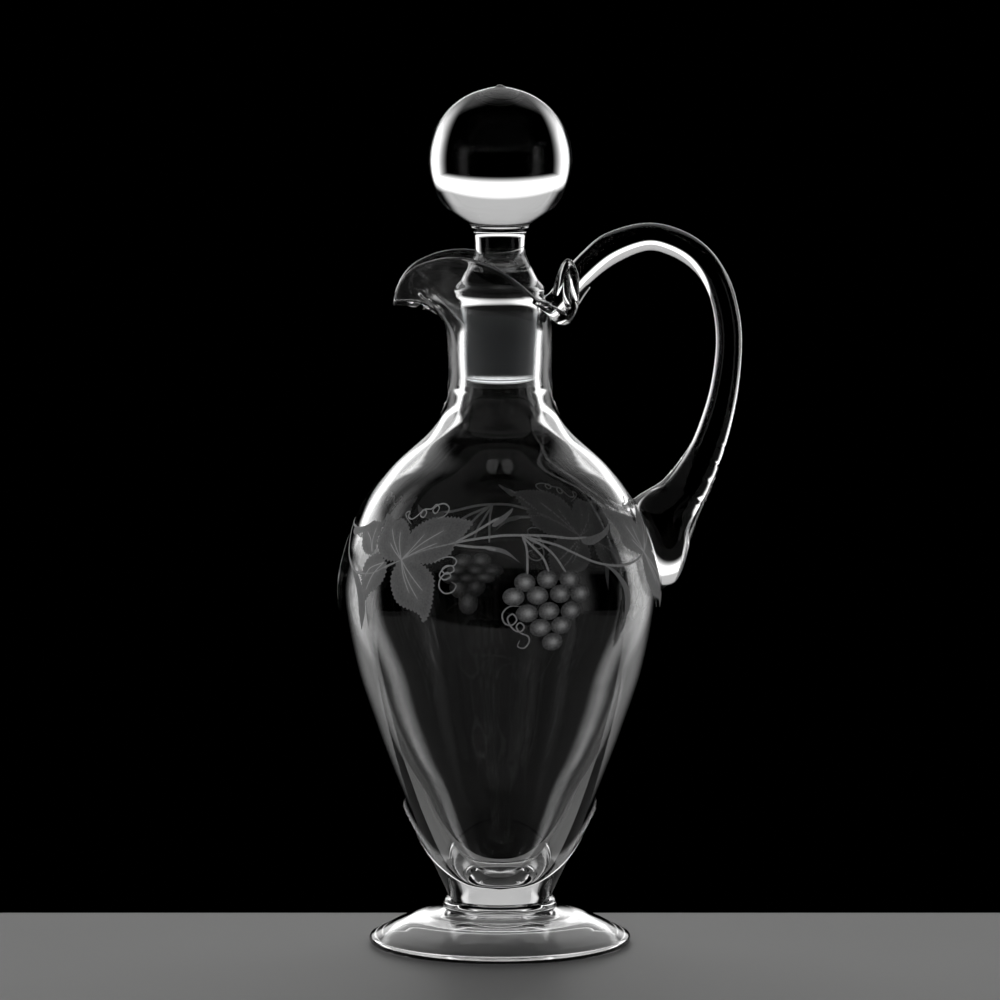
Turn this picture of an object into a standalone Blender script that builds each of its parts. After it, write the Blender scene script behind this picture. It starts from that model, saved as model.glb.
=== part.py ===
"""Footed glass wine decanter (claret jug): blown bowl with a pulled spout, merese, foot, applied loop
handle with a folded tail, and a loose ball stopper with a ground peg.

Units are metres, +Z up.  The origin is under the middle of the object's box, on the standing plane.
The spout points to -X and the handle to +X.  Lengths below are written in millimetres times MM.
"""

import math

import bmesh
import bpy
from mathutils import Vector

MM = 0.001

# --- driving dimensions (mm) ---
HEIGHT = 321.0  # standing plane to the tip of the stopper
BOWL_RADIUS = 60.6  # widest part of the bowl
HANDLE_REACH = 89.7  # outermost point of the handle, measured from the jug's own axis
FOOT_RADIUS = 48.9
BALL_RADIUS = 26.7
GAP = 0.3  # between pieces that touch
FUSE_Z = 17.1  # underside of the bowl, where it is fused to the merese
NECK_Z = 222.0  # where the round neck starts to turn into the pulled lip
BORE_Z = 230.0  # top of the ground bore in the neck
LIP_WALL = 3.2  # glass thickness at the rim
PEG_BOTTOM_Z = 210.9
STOPPER_JOINT_Z = 268.3  # where the ball is fused to its shank

LIP_STEPS = 6
RIM_STEPS = 4
TUBE_SIDES = 14
SIDES = 36  # facets round every turned piece; a multiple of four keeps the widest points on the axes
AXIS_X = (BOWL_RADIUS - HANDLE_REACH) / 2  # the jug's axis, off centre because of the handle
BALL_Z = HEIGHT - BALL_RADIUS - 0.9  # the ball's centre; its drawn-up tip stands 0.9 proud

# --- outlines, as (radius, height) in mm ---
BOWL_OUTSIDE = [
    (18.9, FUSE_Z),
    (21.6, 22.6),
    (30.6, 39.4),
    (39.4, 58.6),
    (48.3, 80.9),
    (56.0, 104.5),
    (BOWL_RADIUS, 131.0),
    (57.9, 148.0),
    (51.0, 165.6),
    (40.6, 179.2),
    (27.0, 191.6),
    (21.3, 200.6),
    (19.2, 211.5),
    (19.4, NECK_Z),
]
BOWL_INSIDE = [
    (2.5, 25.4),
    (7.6, 26.8),
    (13.6, 32.0),
    (20.4, 41.3),
    (29.3, 57.0),
    (38.9, 75.2),
    (48.8, 99.0),
    (55.0, 118.0),
    (56.7, 133.5),
    (54.2, 147.5),
    (47.4, 163.4),
    (38.0, 175.7),
    (25.4, 186.8),
    (16.6, 198.0),
    (13.2, 209.5),
]
BORE_STATIONS = (214.0, 220.0)  # heights of the bore's lower rings, a gap outside the stopper's peg
BALL_NECK = [(19.6, 275.3), (14.6, 271.7), (11.2, STOPPER_JOINT_Z + GAP)]
SHANK = [
    (10.9, STOPPER_JOINT_Z),
    (9.5, 264.8),
    (9.3, 260.9),
    (10.1, 256.6),
    (13.6, 249.6),
    (16.4, 246.2),
    (16.6, 244.4),
    (15.3, 240.4),
    (14.2, 236.6),
]
PEG_TIP = (12.9, 213.4)  # end of the ground taper
PEG_CORNER = 2.5  # rounding of the peg's lower edge
FOOT_TOP = [(20.6, 12.5), (30.2, 11.2), (38.0, 8.3), (44.4, 5.1)]
FOOT_EDGE = 1.8  # radius of the rounded edge
FOOT_RING = 45.2  # inner radius of the flat ring that the foot stands on
FOOT_UNDER = [(43.4, 1.5), (37.5, 4.9), (29.5, 7.9), (18.0, 9.5)]
COLLAR = [(19.0, FUSE_Z - GAP), (20.7, 16.3), (21.4, 14.7), (21.1, 13.5), (19.8, 12.5 + GAP)]

# The rim of the pulled lip, half of it: (share of the way round, x, y, z) in mm from the jug's axis,
# from the back of the mouth to the tip of the spout.
RIM = [
    (0.00, 19.3, 0.0, 239.9),
    (0.11, 17.8, 8.8, 240.2),
    (0.21, 13.8, 15.2, 242.0),
    (0.32, 7.6, 20.0, 247.4),
    (0.43, 0.0, 22.2, 252.6),
    (0.55, -8.0, 21.8, 255.8),
    (0.65, -16.0, 19.0, 256.8),
    (0.74, -24.0, 15.2, 255.8),
    (0.82, -31.0, 11.2, 253.0),
    (0.88, -35.0, 8.6, 248.6),
    (0.93, -37.2, 6.0, 243.4),
    (0.97, -38.1, 3.2, 239.6),
    (1.00, -38.3, 0.0, 238.2),
]

SPOUT_START = 0.55  # share of the way round where the wall starts to lean out into the spout
TIP_START = 0.78  # and where its rim turns over towards the tip
MOUTH_LEAN = 8.0  # degrees that the wall leans out at the rim, all round the mouth
TIP_LEAN = 90.0  # and at the tip, where it lies level
TIP_REACH_OUT = 15.0  # how far the curve under the tip runs straight before it bends, mm
TIP_REACH_IN = 11.0  # and the same for the channel above it
BORE_REACH = 9.0  # straight run of the channel where it leaves the bore

# The handle, as cuts across it: outer edge x, z, inner edge x, z, half width, sideways shift, in mm.
HANDLE_CUTS = [
    (18.6, 244.2, 17.5, 231.5, 5.0, 1.2),
    (23.2, 250.8, 25.2, 238.4, 4.9, 1.1),
    (29.6, 258.2, 32.2, 246.2, 5.4, 0.8),
    (39.0, 265.8, 42.6, 254.6, 6.0, 0.2),
    (54.0, 269.8, 54.0, 259.5, 6.2, 0.0),
    (66.5, 267.4, 62.4, 258.0, 6.1, 0.0),
    (77.0, 260.8, 70.2, 253.4, 6.0, 0.0),
    (84.8, 249.6, 75.9, 246.4, 6.0, 0.0),
    (88.8, 235.8, 79.0, 237.2, 6.0, 0.0),
    (HANDLE_REACH, 223.4, 80.1, 224.6, 6.0, 0.0),
    (88.4, 208.0, 78.2, 209.6, 6.0, 0.0),
    (85.6, 193.4, 74.6, 197.2, 6.2, 0.0),
    (81.6, 179.4, 69.6, 186.0, 6.6, 0.0),
    (77.2, 167.2, 60.5, 174.2, 7.4, 0.0),
    (73.4, 158.4, 48.6, 165.2, 8.6, 0.0),
    (70.4, 149.6, 53.6, 153.0, 8.8, 0.0),
    (68.2, 141.6, 56.4, 143.6, 7.4, 0.0),
    (65.6, 136.4, 57.6, 137.2, 5.0, 0.0),
    (61.8, 133.2, 58.0, 133.8, 2.2, 0.0),
]

# The folded tail of the handle: x, y, z of its centre line and its half thickness, in mm.
CURL_PATH = [
    (12.5, -17.2, 242.2, 0.9),
    (16.0, -13.4, 240.4, 1.6),
    (19.6, -9.8, 237.6, 2.2),
    (23.4, -7.8, 235.2, 2.6),
    (26.6, -6.7, 238.6, 2.2),
    (27.5, -6.6, 245.2, 1.8),
    (27.2, -6.6, 251.6, 1.7),
    (25.2, -6.6, 255.6, 1.5),
    (23.2, -6.6, 252.2, 1.6),
    (21.6, -6.6, 247.6, 1.6),
    (20.4, -6.8, 243.8, 1.2),
]
CURL_FLATNESS = 1.45  # how much wider the tail is across than it is thick


def smooth(knots, steps, ends=None):
    """Points on a Catmull-Rom curve through the knots, with this many steps from each to the next.

    ends are the points that the curve heads for beyond its two ends; by default it runs out straight.
    """
    points = [Vector(knot) for knot in knots]
    before, after = ends or (2 * points[0] - points[1], 2 * points[-1] - points[-2])
    points = [before] + points + [after]
    curve = []
    for a, b, c, d in zip(points, points[1:], points[2:], points[3:]):
        slope = c - a
        bend = 2 * a - 5 * b + 4 * c - d
        twist = 3 * b - a - 3 * c + d
        for step in range(steps):
            t = step / steps
            curve.append(b + 0.5 * (slope * t + bend * t**2 + twist * t**3))
    curve.append(points[-2])
    return curve


def bezier(a, b, c, d, t):
    """The point at t on a cubic Bezier curve."""
    s = 1 - t
    return s**3 * a + 3 * s * s * t * b + 3 * s * t * t * c + t**3 * d


def arc(centre_r, centre_z, radius, start, end, steps):
    """Points on an arc in the (radius, height) plane; angles in degrees, from +r towards +z."""
    points = []
    for step in range(steps + 1):
        angle = math.radians(start + (end - start) * step / steps)
        points.append(Vector((centre_r + radius * math.cos(angle), centre_z + radius * math.sin(angle))))
    return points


def glass(name, roughness):
    """A colourless glass material."""
    material = bpy.data.materials.new(name)
    material.use_nodes = True
    shader = material.node_tree.nodes["Principled BSDF"]
    shader.inputs["Base Color"].default_value = (1.0, 1.0, 1.0, 1.0)
    shader.inputs["Metallic"].default_value = 0.0
    shader.inputs["Roughness"].default_value = roughness
    shader.inputs["Transmission Weight"].default_value = 1.0
    shader.inputs["IOR"].default_value = 1.52
    return material


def ray(angle):
    """The level unit vector at this angle from +X."""
    return Vector((math.cos(angle), math.sin(angle), 0.0))


def skin(rings):
    """A closed bmesh over a run of rings, with a flat cap on the first and the last."""
    bm = bmesh.new()
    loops = [[bm.verts.new(point) for point in ring] for ring in rings]
    for low, high in zip(loops, loops[1:]):
        for i in range(len(low)):
            j = (i + 1) % len(low)
            bm.faces.new((low[i], low[j], high[j], high[i]))
    bm.faces.new(reversed(loops[0]))
    bm.faces.new(loops[-1])
    bmesh.ops.recalc_face_normals(bm, faces=bm.faces)
    return bm


def add_piece(name, bm, material):
    """An object from a bmesh in millimetres about the jug's axis, with its origin on that axis."""
    bmesh.ops.scale(bm, vec=(MM, MM, MM), verts=bm.verts)
    mesh = bpy.data.meshes.new(name)
    bm.to_mesh(mesh)
    bm.free()
    mesh.shade_smooth()
    mesh.set_sharp_from_angle(angle=math.radians(40))
    mesh.materials.append(material)
    piece = bpy.data.objects.new(name, mesh)
    bpy.context.collection.objects.link(piece)
    piece.location.x = AXIS_X * MM
    return piece


def turned(outline):
    """A turned solid from (radius, height) points; flat discs close its two ends."""
    rings = []
    for radius, height in outline:
        up = Vector((0.0, 0.0, height))
        rings.append([ray(2 * math.pi * side / SIDES) * radius + up for side in range(SIDES)])
    return skin(rings)


def peg_radius(z):
    """Radius of the stopper's ground taper at this height."""
    (tip_r, tip_z), (top_r, top_z) = PEG_TIP, SHANK[-1]
    return tip_r + (z - tip_z) * (top_r - tip_r) / (top_z - tip_z)


def rim_point(share):
    """A point of the rim's outer edge: share is 0 or 2 at the back of the mouth and 1 at the spout."""
    folded = share if share <= 1 else 2 - share
    steps = 8
    knots = [Vector(knot[1:]) for knot in RIM]
    mirrored = [Vector((knot.x, -knot.y, knot.z)) for knot in (knots[1], knots[-2])]
    curve = smooth(knots, steps, mirrored)
    stops = [knot[0] for knot in RIM]
    knot = next(i for i in range(len(stops) - 1) if folded <= stops[i + 1])
    along = (folded - stops[knot]) / (stops[knot + 1] - stops[knot]) * steps
    step = min(int(along), steps - 1)
    start = knot * steps + step
    point = curve[start].lerp(curve[start + 1], along - step)
    if share > 1:
        point.y = -point.y
    return point


def ease(share, start):
    """Rises smoothly from 0 at start to 1 at the tip of the spout."""
    t = max(0.0, (share - start) / (1 - start))
    return t * t * (3 - 2 * t)


def lip_column(side, swell):
    """One column of the lip's points: up the outside of the neck, over the rim and down to the bore."""
    share = 2 * side / SIDES
    folded = min(share, 2 - share)
    spout = ease(folded, SPOUT_START)
    lean = math.radians(MOUTH_LEAN + (TIP_LEAN - MOUTH_LEAN) * ease(folded, TIP_START))
    rim = rim_point(share)
    ahead = rim_point((share + 0.01) % 2) - rim_point((share - 0.01) % 2)
    up = Vector((0.0, 0.0, 1.0))
    out = Vector((rim.x, rim.y, 0.0)).normalized()
    rise = out * math.sin(lean) + up * math.cos(lean)
    inward = rise.cross(ahead).normalized()
    if inward.dot(out - up * spout) > 0:
        inward = -inward

    height = rim.z - NECK_Z
    low = ray(math.pi * share) * (BOWL_OUTSIDE[-1][0] + swell) + up * NECK_Z
    low_handle = low + up * (0.42 * height * (1 - spout) + TIP_REACH_OUT * spout)
    edge = rim - inward * swell
    edge_handle = edge - rise * (0.3 * height * (1 - spout) + TIP_REACH_OUT * spout)
    column = [bezier(low, low_handle, edge_handle, edge, step / LIP_STEPS) for step in range(LIP_STEPS)]

    middle = rim + inward * LIP_WALL / 2
    half = LIP_WALL / 2 + swell
    for step in range(RIM_STEPS + 1):
        turn = math.pi * step / RIM_STEPS
        column.append(middle - inward * half * math.cos(turn) + rise * half * math.sin(turn))

    bore = ray(math.pi * share) * (peg_radius(BORE_Z) + GAP - swell) + up * BORE_Z
    brim = column[-1]
    climb = brim.z - BORE_Z
    brim_handle = brim - rise * (0.5 * climb * (1 - spout) + TIP_REACH_IN * spout) + up * 2.2 * spout
    bore_handle = bore + up * (0.2 * climb * (1 - spout) + BORE_REACH * spout) + out * 1.9 * spout
    for step in range(1, LIP_STEPS + 1):
        column.append(bezier(brim, brim_handle, bore_handle, bore, step / LIP_STEPS))
    return column


def wall(swell):
    """The blown wall, closed: outside, over the lip, and inside.  swell thickens it on all its faces."""
    outside = smooth(BOWL_OUTSIDE, 2)[:-1]
    inside = smooth(BOWL_INSIDE, 2)
    for z in BORE_STATIONS:
        inside.append(Vector((peg_radius(z) + GAP, z)))
    columns = []
    for side in range(SIDES):
        out = ray(2 * math.pi * side / SIDES)
        column = [out * (radius + swell) + Vector((0.0, 0.0, z)) for radius, z in outside]
        column += lip_column(side, swell)
        column += [out * (radius - swell) + Vector((0.0, 0.0, z)) for radius, z in reversed(inside)]
        columns.append(column)
    return skin(list(zip(*columns)))


def oval(centre, across, sideways):
    """A ring of points round centre, spanned by two half axes."""
    turns = [2 * math.pi * i / TUBE_SIDES for i in range(TUBE_SIDES)]
    return [centre + across * math.cos(turn) + sideways * math.sin(turn) for turn in turns]


def handle_mesh():
    """The loop handle, from the back of the lip over the arch to the drop on the bowl's shoulder."""
    rings = []
    for outer_x, outer_z, inner_x, inner_z, half_width, shift in smooth(HANDLE_CUTS, 2):
        outer = Vector((outer_x, shift, outer_z))
        inner = Vector((inner_x, shift, inner_z))
        rings.append(oval((outer + inner) / 2, (outer - inner) / 2, Vector((0.0, half_width, 0.0))))
    return skin(rings)


def curl_mesh():
    """The handle's tail: a strand laid along the lip and folded up into a narrow loop."""
    path = smooth(CURL_PATH, 2)
    rings = []
    for i, (x, y, z, half) in enumerate(path):
        tangent = (path[min(i + 1, len(path) - 1)] - path[max(i - 1, 0)]).to_3d().normalized()
        sideways = Vector((0.0, 1.0, 0.0))
        sideways = (sideways - tangent * sideways.dot(tangent)).normalized()
        across = tangent.cross(sideways)
        rings.append(oval(Vector((x, y, z)), across * half, sideways * half * CURL_FLATNESS))
    return skin(rings)


def cut_by(piece, cutter):
    """Cuts the piece back from the blown wall, which it is pressed on, to leave the gap between them."""
    cut = piece.modifiers.new("pressed_on_wall", "BOOLEAN")
    cut.operation = "DIFFERENCE"
    cut.solver = "EXACT"
    cut.object = cutter


def foot_outline():
    """The spun foot: a shallow cone of even thickness on a narrow flat ring."""
    edge = arc(FOOT_RADIUS - FOOT_EDGE, FOOT_EDGE, FOOT_EDGE, 70, -90, 5)
    return smooth(FOOT_TOP, 2) + edge + [Vector((FOOT_RING, 0.0))] + smooth(FOOT_UNDER, 2)


def ball_outline():
    """The solid ball, with a drawn-up tip at the top and a short neck at the bottom."""
    tip = [Vector((0.8, HEIGHT)), Vector((4.4, HEIGHT - 1.1))]
    return tip + arc(0.0, BALL_Z, BALL_RADIUS, 72, -38, 12) + smooth(BALL_NECK, 2)


def shank_outline():
    """The stopper's shank, its shoulder and its ground peg."""
    tip_r, tip_z = PEG_TIP
    corner = arc(tip_r - PEG_CORNER, PEG_BOTTOM_Z + PEG_CORNER, PEG_CORNER, 0, -90, 3)
    return smooth(SHANK, 2) + [Vector((tip_r, tip_z + 0.4))] + corner


def main():
    for obj in list(bpy.data.objects):
        bpy.data.objects.remove(obj, do_unlink=True)

    clear = glass("clear_glass", 0.02)
    ground = glass("ground_glass", 0.35)

    add_piece("bowl", wall(0.0), clear)
    add_piece("stem_collar", turned(smooth(COLLAR, 2)), clear)
    add_piece("foot", turned(foot_outline()), clear)

    cutter = add_piece("wall_cutter", wall(GAP), clear)
    cutter.hide_render = True
    cutter.display_type = "WIRE"
    cut_by(add_piece("handle", handle_mesh(), clear), cutter)
    cut_by(add_piece("handle_curl", curl_mesh(), clear), cutter)

    add_piece("stopper_ball", turned(ball_outline()), clear)
    add_piece("stopper_peg", turned(shank_outline()), ground)


main()
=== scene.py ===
"""Looks of the glass wine decanter: clear blown glass, ground bore and peg, and an engraved vine frieze.

Shapes are written in millimetres about the jug's own axis, as in the CAD, and scaled by MM.
"""

import math

import bmesh
import bpy
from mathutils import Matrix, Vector
from mathutils.geometry import delaunay_2d_cdt, intersect_point_line


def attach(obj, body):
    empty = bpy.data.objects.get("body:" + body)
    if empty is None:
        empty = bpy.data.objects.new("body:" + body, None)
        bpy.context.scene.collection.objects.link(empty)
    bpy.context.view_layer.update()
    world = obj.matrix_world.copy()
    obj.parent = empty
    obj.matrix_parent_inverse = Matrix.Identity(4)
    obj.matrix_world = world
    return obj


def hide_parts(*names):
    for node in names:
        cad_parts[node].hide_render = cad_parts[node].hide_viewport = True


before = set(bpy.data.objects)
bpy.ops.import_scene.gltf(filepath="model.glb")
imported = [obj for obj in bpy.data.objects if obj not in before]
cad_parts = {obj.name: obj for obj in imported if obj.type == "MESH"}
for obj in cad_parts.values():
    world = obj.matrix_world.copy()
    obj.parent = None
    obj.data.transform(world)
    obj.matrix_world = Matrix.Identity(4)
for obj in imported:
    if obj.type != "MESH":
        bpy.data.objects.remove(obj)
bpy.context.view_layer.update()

MM = 0.001
HEIGHT = 321.0
BOWL_RADIUS = 60.6
BELT_RADIUS = BOWL_RADIUS - 0.18  # leaves room for the engraving's own thickness
HANDLE_REACH = 89.7
FOOT_RADIUS = 48.9
BALL_RADIUS = 26.7
GAP = 0.3  # clearance of the ground peg in the ground bore
FUSE_Z = 17.1
FOOT_JOINT_Z = 12.65
NECK_Z = 222.0
BORE_Z = 230.0
LIP_WALL = 3.2
PEG_BOTTOM_Z = 210.9
STOPPER_JOINT_Z = 268.4
GROUND_TOP_Z = 237.2  # the ground finish on peg and bore ends here
AXIS_X = (BOWL_RADIUS - HANDLE_REACH) / 2
BALL_Z = HEIGHT - BALL_RADIUS - 0.9

SIDES = 160
HANDLE_SIDES = 40
CURL_SIDES = 24
BOWL_STEPS = 7
HANDLE_STEPS = 16
LIP_STEPS = 16
RIM_STEPS = 10
RIM_CURVE_STEPS = 16
SHARP_ANGLE = math.radians(38)

BOWL_OUTSIDE = [
    (18.9, FUSE_Z),
    (21.6, 22.6),
    (30.6, 39.4),
    (39.4, 58.6),
    (48.3, 80.9),
    (56.0, 104.5),
    (BELT_RADIUS, 131.0),
    (57.8, 148.0),
    (51.0, 165.6),
    (40.6, 179.2),
    (27.0, 191.6),
    (21.3, 200.6),
    (19.2, 211.5),
    (19.4, NECK_Z),
]
BOWL_INSIDE = [
    (0.0, 25.2),
    (7.6, 26.8),
    (13.6, 32.0),
    (20.4, 41.3),
    (29.3, 57.0),
    (38.9, 75.2),
    (48.8, 99.0),
    (55.0, 118.0),
    (56.7, 133.5),
    (54.2, 147.5),
    (47.4, 163.4),
    (38.0, 175.7),
    (25.4, 186.8),
    (16.6, 198.0),
    (13.2, 209.5),
]
COLLAR = [(18.9, FUSE_Z), (20.6, 16.5), (21.4, 14.9), (21.1, 13.6), (19.9, FOOT_JOINT_Z)]
FOOT_TOP = [(19.9, FOOT_JOINT_Z), (22.4, 12.3), (30.2, 11.2), (38.0, 8.3), (44.4, 5.1)]
FOOT_EDGE = 1.8
FOOT_RING = 45.2
FOOT_UNDER = [(43.4, 1.5), (37.5, 4.9), (29.5, 7.9), (18.0, 9.5), (13.0, 9.9)]
PONTIL = [(11.6, 10.0), (9.8, 10.9), (5.0, 11.5), (0.0, 11.7)]  # the ground-out hollow under the foot
BALL_TIP = [(0.0, HEIGHT), (0.9, HEIGHT - 0.15), (2.2, HEIGHT - 0.75), (4.4, HEIGHT - 1.15)]
BALL_NECK = [(19.6, 275.3), (14.6, 271.7), (11.4, 269.6), (11.0, STOPPER_JOINT_Z)]
SHANK = [
    (11.0, STOPPER_JOINT_Z),
    (9.8, 266.2),
    (9.3, 260.9),
    (10.1, 256.6),
    (13.6, 249.6),
    (16.4, 246.2),
    (16.6, 244.4),
    (15.3, 240.4),
    (14.2, 236.6),
]
PEG_TIP = (12.9, 213.4)
PEG_CORNER = 2.5
PEG_RINGS = (232.0, 226.0, 220.0, 213.6)  # heights of the rings that carry the peg's taper
BORE_RINGS = (212.6, 216.0, 220.0, 225.0)  # and the bore's, below BORE_Z
GROUND_MARGIN = 1.0  # how far the bore's ground finish runs past the peg

# The rim's outer edge from the back of the mouth to the spout's tip: its share of the way, then x, y and z.
RIM = [
    (0.00, 19.3, 0.0, 239.9),
    (0.11, 17.8, 8.8, 240.2),
    (0.21, 13.8, 15.2, 242.0),
    (0.32, 7.6, 20.0, 247.4),
    (0.43, 0.0, 22.2, 252.6),
    (0.55, -8.0, 21.8, 255.8),
    (0.65, -16.0, 19.0, 256.8),
    (0.74, -24.0, 15.2, 255.8),
    (0.82, -31.0, 11.2, 253.0),
    (0.88, -35.0, 8.6, 248.6),
    (0.93, -37.2, 6.0, 243.4),
    (0.97, -38.1, 3.2, 239.6),
    (1.00, -38.3, 0.0, 238.2),
]
SPOUT_START = 0.55
TIP_START = 0.78
MOUTH_LEAN = 8.0  # of the lip's wall from upright, in degrees
TIP_LEAN = 90.0
# How far the lip's curves run on from their ends: at the mouth as shares of its height, at the spout in mm.
NECK_REACH = 0.42
RIM_REACH = 0.3
BRIM_REACH = 0.5
BORE_REACH = 0.2
TIP_REACH_OUT = 15.0
TIP_REACH_IN = 11.0
THROAT_REACH = 9.0
THROAT_RISE = 2.2
THROAT_SWELL = 1.9

# The handle, as cuts across it: outer edge x, z, inner edge x, z, half width, sideways shift.
HANDLE_CUTS = [
    (16.6, 242.4, 16.4, 232.5, 4.0, 1.2),
    (18.8, 244.4, 18.2, 231.8, 4.8, 1.2),
    (23.2, 250.8, 25.2, 238.4, 4.9, 1.1),
    (29.6, 258.2, 32.2, 246.2, 5.4, 0.8),
    (39.0, 265.8, 42.6, 254.6, 6.0, 0.2),
    (54.0, 269.8, 54.0, 259.5, 6.2, 0.0),
    (66.5, 267.4, 62.4, 258.0, 6.1, 0.0),
    (77.0, 260.8, 70.2, 253.4, 6.0, 0.0),
    (84.8, 249.6, 75.9, 246.4, 6.0, 0.0),
    (88.8, 235.8, 79.0, 237.2, 6.0, 0.0),
    (HANDLE_REACH - 0.03, 223.4, 80.1, 224.6, 6.0, 0.0),
    (88.4, 208.0, 78.2, 209.6, 6.0, 0.0),
    (85.6, 193.4, 74.6, 197.2, 6.2, 0.0),
    (81.6, 179.4, 69.6, 186.0, 6.6, 0.0),
    (77.2, 167.2, 60.5, 174.2, 7.4, 0.0),
    (73.4, 158.4, 48.6, 165.2, 8.6, 0.0),
    (70.4, 149.6, 53.6, 153.0, 8.8, 0.0),
    (68.2, 141.6, 56.4, 143.6, 7.4, 0.0),
    (65.6, 136.4, 57.6, 137.2, 5.0, 0.0),
    (61.8, 133.2, 58.0, 133.8, 2.2, 0.0),
]
NICKS = (163.0, 189.0)  # heights of the tool marks down the handle's outer edge
NICK_PITCH = 3.4
NICK_BEAT = 0.9  # of a slower wave that makes the marks uneven, in radians for each mm
NICK_DEPTH = 0.45

# The handle's tail, as strands fused together: x, y, z and the half thickness there.
CURL_PATH = [
    (12.5, -17.2, 242.2, 0.9),
    (16.0, -13.4, 240.4, 1.6),
    (19.6, -9.8, 237.6, 2.2),
    (23.4, -7.8, 235.2, 2.6),
    (26.6, -6.7, 238.6, 2.2),
    (27.5, -6.6, 245.2, 1.8),
    (27.2, -6.6, 251.6, 1.7),
    (25.2, -6.6, 255.6, 1.5),
    (23.2, -6.6, 252.2, 1.6),
    (21.6, -6.6, 247.6, 1.6),
    (20.4, -6.8, 243.8, 1.2),
]
CURL_FOLD = [
    (26.0, -7.4, 236.4, 1.7),
    (24.9, -8.3, 240.6, 1.4),
    (24.3, -8.6, 245.2, 1.1),
    (24.5, -8.2, 249.8, 0.9),
    (25.2, -7.4, 253.4, 0.6),
]
CURL_HOOK = [
    (26.6, -5.6, 238.8, 1.3),
    (28.6, -5.4, 241.4, 1.3),
    (30.6, -4.6, 244.2, 1.2),
    (32.6, -3.4, 246.4, 0.9),
]
CURL_FLATNESS = 1.45

# The engraved frieze, as angles from the front in degrees and heights. On the bowl's belt one degree is
# nearly one millimetre round, so shapes are worked out flat in these numbers. An outline is a list of runs
# that meet at sharp tips.
LEAF_JUNCTION = -39.1
LEAF_LOBES = [
    [
        [(-40.5, 148.8), (-42.2, 144.4), (-41.6, 140.3), (-39.2, 135.6), (-36.7, 133.7), (-32.9, 132.5),
         (-29.2, 131.1), (-27.5, 127.9)],
        [(-27.5, 127.9), (-25.6, 131.6), (-24.6, 135.3), (-24.3, 139.3), (-24.5, 143.8), (-26.5, 146.4),
         (-29.8, 148.5), (-34.9, 149.5), (-38.6, 149.9)],
        [(-38.6, 149.9), (-40.5, 148.8)],
    ],
    [
        [(-38.0, 150.2), (-37.1, 156.8), (-36.9, 159.9), (-34.0, 162.4), (-30.8, 164.1), (-26.5, 165.4),
         (-22.0, 165.6), (-16.5, 165.4), (-11.1, 164.4)],
        [(-11.1, 164.4), (-13.0, 161.9), (-15.7, 159.2), (-17.9, 156.1), (-18.6, 153.9), (-20.8, 152.0),
         (-25.4, 149.9), (-29.9, 149.4), (-35.0, 149.9), (-38.0, 150.2)],
    ],
    [
        [(-40.0, 149.6), (-45.2, 149.3), (-48.7, 150.3), (-51.9, 152.5), (-53.6, 155.5), (-52.9, 158.7),
         (-52.3, 161.9), (-54.4, 164.8)],
        [(-54.4, 164.8), (-50.7, 164.3), (-47.1, 163.0), (-43.7, 164.1)],
        [(-43.7, 164.1), (-40.9, 162.9), (-38.9, 161.0), (-37.4, 158.0), (-37.6, 153.6), (-38.9, 149.9)],
        [(-38.9, 149.9), (-40.0, 149.6)],
    ],
]
LEAF_VEINS = [
    [(-39.1, 149.8), (-36.0, 153.2), (-30.8, 159.4)],
    [(-39.1, 149.8), (-31.0, 156.3), (-22.8, 161.2)],
    [(-39.1, 149.8), (-32.2, 153.5), (-24.7, 156.7)],
    [(-39.1, 149.8), (-44.2, 155.6), (-47.5, 160.3)],
    [(-39.1, 149.8), (-43.1, 152.6), (-46.3, 155.2)],
    [(-39.1, 149.8), (-41.5, 155.2), (-42.6, 159.5)],
    [(-39.1, 149.8), (-37.1, 144.6), (-33.5, 138.3)],
    [(-39.1, 149.8), (-35.5, 143.8), (-29.9, 136.3)],
    [(-39.1, 149.8), (-34.3, 145.2), (-28.2, 139.6)],
]
BROAD_LOBE = [
    [(-59.0, 167.6), (-53.2, 166.0), (-41.3, 162.6), (-37.5, 158.6), (-36.0, 153.8), (-39.1, 149.6)],
    [(-39.1, 149.6), (-43.3, 150.0), (-50.2, 152.4), (-52.9, 155.0), (-53.2, 159.0), (-56.3, 163.4),
     (-59.0, 167.6)],
]
SIDE_LEAVES = [
    [
        [(-51.4, 150.9), (-56.8, 148.8), (-58.7, 145.4), (-58.2, 140.4), (-55.4, 133.7)],
        [(-55.4, 133.7), (-52.3, 137.0), (-48.5, 139.7), (-46.5, 142.1), (-45.8, 145.4), (-46.6, 148.0),
         (-51.4, 150.9)],
    ],
    [
        [(-66.5, 157.6), (-62.9, 160.7), (-59.6, 161.6), (-53.9, 161.6)],
        [(-53.9, 161.6), (-55.0, 156.7), (-54.4, 153.4), (-55.6, 150.6)],
        [(-55.6, 150.6), (-59.8, 150.6), (-63.9, 153.0), (-66.5, 157.6)],
    ],
]
SIDE_VEINS = [
    [(-47.6, 148.2), (-52.2, 143.4), (-54.9, 137.4)],
    [(-47.6, 148.2), (-54.6, 145.4), (-56.8, 142.0)],
    [(-55.8, 151.2), (-59.0, 155.4), (-63.2, 157.8)],
    [(-55.8, 151.2), (-57.6, 156.0), (-57.4, 159.6)],
]
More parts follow.
